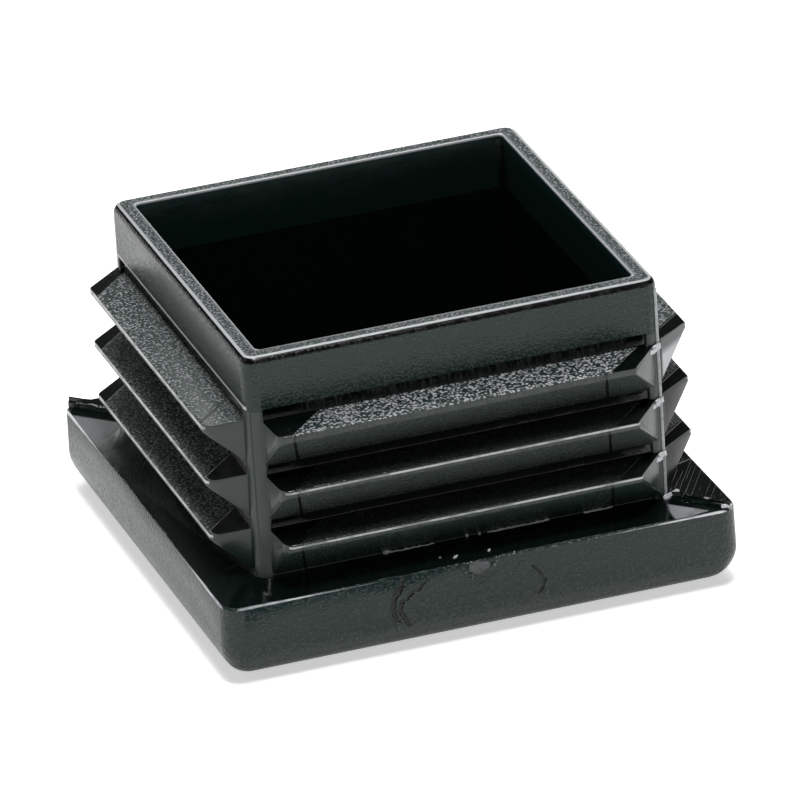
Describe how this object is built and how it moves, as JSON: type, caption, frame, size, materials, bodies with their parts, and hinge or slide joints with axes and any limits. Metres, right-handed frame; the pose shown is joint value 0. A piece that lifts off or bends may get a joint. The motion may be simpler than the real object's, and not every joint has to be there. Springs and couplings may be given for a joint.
{
  "type": "square tube end cap",
  "caption": "Black moulded plug that closes the end of a square tube: rounded square head and a hollow sleeve with rows of gripping barbs on each side.",
  "frame": {"origin": "centre of the head's flat outer face", "axes": "+Z along the sleeve, from the head to the open end; X and Y square to the head's sides, with -Y the side that faces the camera"},
  "size_m": [0.025, 0.025, 0.0149],
  "materials": {
    "black_plastic": "moulded polyethylene, satin, with a fine rough texture along the middle of the barbs"
  },
  "bodies": {
    "root": {"tube_end_cap": "black_plastic"}
  },
  "joints": []
}
